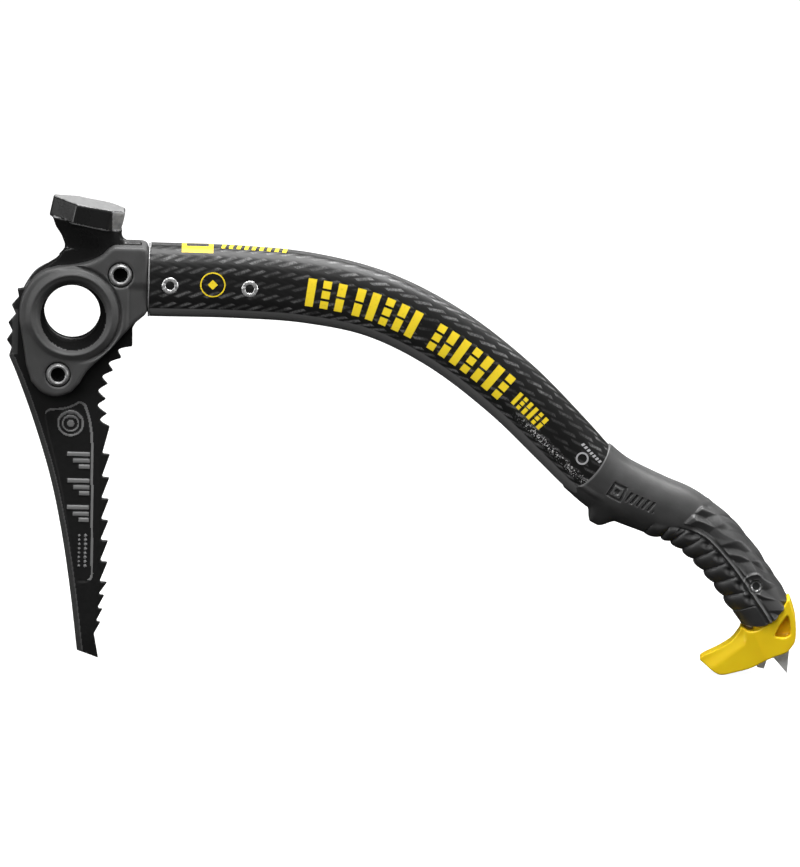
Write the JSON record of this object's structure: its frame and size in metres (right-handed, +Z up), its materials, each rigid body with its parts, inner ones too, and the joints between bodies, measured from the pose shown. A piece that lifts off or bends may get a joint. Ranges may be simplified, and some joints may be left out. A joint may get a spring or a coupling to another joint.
{
  "type": "ice axe",
  "caption": "Curved technical ice axe: toothed steel pick and hammer in a forged fork, bent composite shaft, moulded grip, hooked hand rest and spike.",
  "frame": {"origin": "on the ground under the middle of the axe, which stands on its pick tip and on the toe of its hand rest", "axes": "+X from the pick towards the hand, along the first straight of the shaft; +Y across the axe; +Z up, from the spike end of the grip towards the hammer"},
  "size_m": [0.4699, 0.03, 0.2773],
  "materials": {
    "forged_steel": "hot forged steel with a thin black coating, worn bright along the edges",
    "anodised_alloy": "forged aluminium alloy, fine blasted and anodised grey",
    "plated_steel": "dull zinc-plated steel",
    "stainless": "bright stainless steel",
    "carbon": "braided carbon fibre under clear lacquer",
    "rubber": "matt moulded grip rubber",
    "yellow_plastic": "moulded yellow plastic with a soft sheen",
    "nylon": "black glass-filled nylon"
  },
  "bodies": {
    "root": {"pick": "forged_steel", "hammer": "forged_steel", "head_fork": "anodised_alloy", "shaft_collar": "plated_steel", "upper_bolt": "plated_steel", "upper_sleeve_nut": "plated_steel", "lower_bolt": "plated_steel", "lower_sleeve_nut": "plated_steel", "shaft": "carbon", "front_shaft_rivet": "stainless", "rear_shaft_rivet": "stainless", "grip": "rubber", "end_plug": "nylon", "spike": "stainless", "lower_rivet": "stainless", "hand_rest": "yellow_plastic"}
  },
  "joints": []
}
